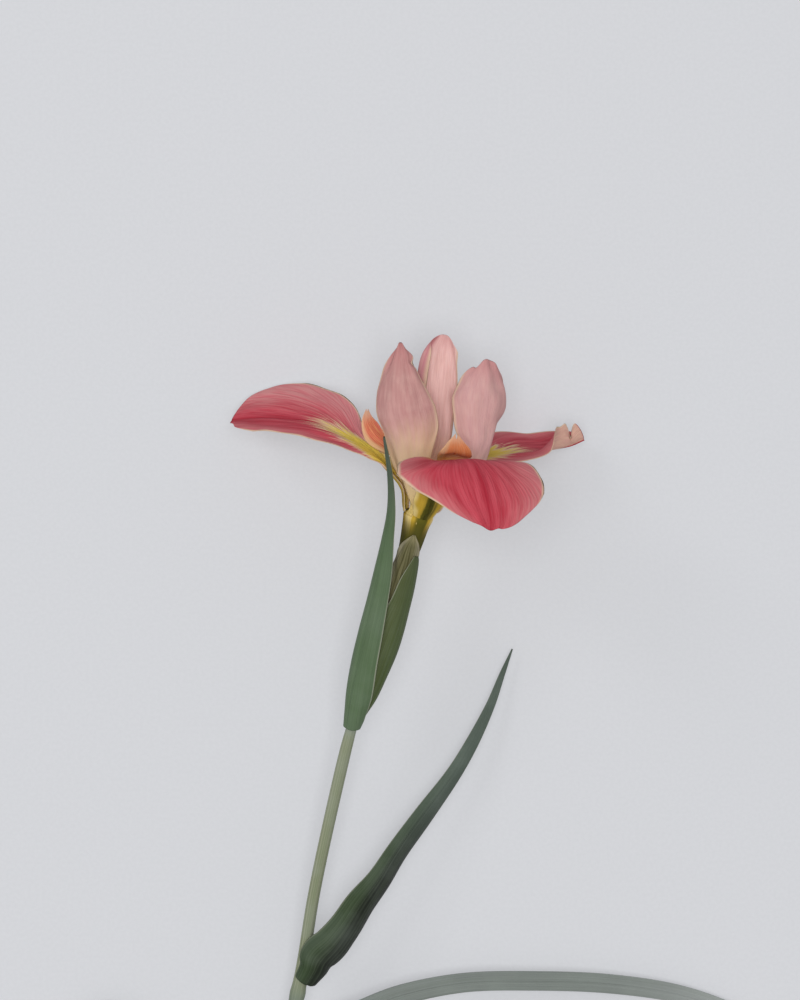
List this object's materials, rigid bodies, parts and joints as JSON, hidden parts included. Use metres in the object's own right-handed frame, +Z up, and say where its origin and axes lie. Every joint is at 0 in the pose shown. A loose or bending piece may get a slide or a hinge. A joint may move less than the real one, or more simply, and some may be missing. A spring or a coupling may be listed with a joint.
{
  "type": "cut iris stem",
  "caption": "Cut iris lying down: pink and crimson flower with upright standards and spread falls, green sheaths, a slim stem and strap leaves.",
  "frame": {"origin": "middle of the footprint of the whole flower's box, on the surface that it lies on", "axes": "+Y along the stem towards the flower, +X to the flower's right as seen from above, +Z up from the surface"},
  "size_m": [0.2375, 0.2848, 0.0792],
  "materials": {
    "stem": "living stem, pale grey green with a waxy bloom",
    "leaf": "living leaf, dark green with fine parallel veins, satin",
    "pale_leaf": "living leaf, grey green with a waxy bloom and parallel veins",
    "spathe": "living sheath, green with a grey bloom and a pale margin",
    "inner_spathe": "living sheath, olive green, satin",
    "papery_bract": "thin dry bract, beige green and slightly see-through",
    "perianth_tube": "living tube, olive with yellow ribs",
    "fall": "petal, crimson with a yellow signal, dark veins and a cream margin, velvety",
    "standard": "petal, pale rose pink with fine veins and a cream margin, matte",
    "style_arm": "petal-like style arm, salmon to pale peach at its crest",
    "stamen": "pale filament with a powdery cream anther"
  },
  "bodies": {
    "root": {"stem": "stem", "stem_leaf": "leaf", "lower_leaf_right": "pale_leaf", "lower_leaf_left": "pale_leaf", "outer_spathe": "spathe", "inner_spathe": "inner_spathe", "papery_bract": "papery_bract", "perianth_tube": "perianth_tube", "fall_left": "fall", "fall_front": "fall", "fall_right": "fall", "standard_left": "standard", "standard_back": "standard", "standard_right": "standard", "style_arm_left": "style_arm", "style_arm_front": "style_arm", "style_arm_right": "style_arm", "stamen_left": "stamen", "stamen_front": "stamen", "stamen_right": "stamen"}
  },
  "joints": []
}
